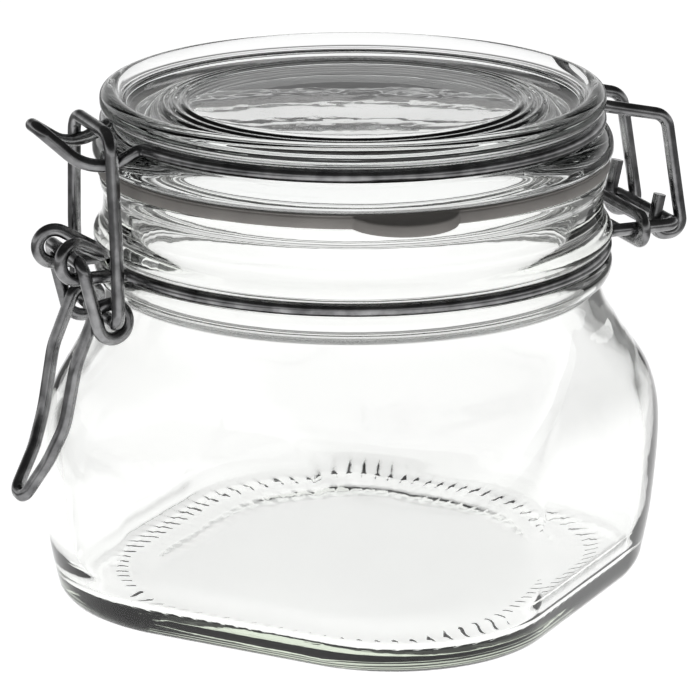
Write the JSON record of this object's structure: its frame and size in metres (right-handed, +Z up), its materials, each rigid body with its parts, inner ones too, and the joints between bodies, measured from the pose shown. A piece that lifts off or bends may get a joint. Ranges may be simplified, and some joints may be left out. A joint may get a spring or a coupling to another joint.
{
  "type": "bail clamp jar",
  "caption": "Square-shouldered clear glass storage jar with a hinged glass lid, rubber seal and steel wire bail clamp.",
  "frame": {"origin": "middle of the jar's base, on the plane it stands on", "axes": "+Z up the jar's neck, +X from the jar's axis towards the lid hinge, -X towards the clamp, +Y across the hinge bar"},
  "size_m": [0.1356, 0.1228, 0.0982],
  "materials": {
    "jar_glass": "clear pressed soda-lime glass with a faint green edge",
    "lid_glass": "clear pressed soda-lime glass",
    "seal_rubber": "matt grey-taupe natural rubber",
    "wire_steel": "drawn steel wire, dull grey"
  },
  "bodies": {
    "jar": {"glass_jar": "jar_glass", "neck_wire": "wire_steel", "rear_tie_link": "wire_steel"},
    "lid": {"glass_lid": "lid_glass", "lid_wire": "wire_steel", "gasket": "seal_rubber"},
    "clamp_lever": {"lever": "wire_steel"},
    "clamp_link": {"bail_link": "wire_steel"}
  },
  "joints": [
    {"name": "lid_hinge", "type": "hinge", "parent": "jar", "child": "lid", "pos_m": [0.0624, 0, 0.0678], "axis": [0, 1, 0], "range_deg": [0, 180]},
    {"name": "lever_pivot", "type": "hinge", "parent": "jar", "child": "clamp_lever", "pos_m": [-0.0579, 0, 0.0711], "axis": [0, 1, 0], "range_deg": [0, 120]},
    {"name": "link_pivot", "type": "hinge", "parent": "clamp_lever", "child": "clamp_link", "pos_m": [-0.0519, 0, 0.0594], "axis": [0, 1, 0], "range_deg": [-88.8, 0]}
  ],
  "couplings": [
    {"joint": "link_pivot", "follows": "lever_pivot", "ratio": -0.74}
  ]
}
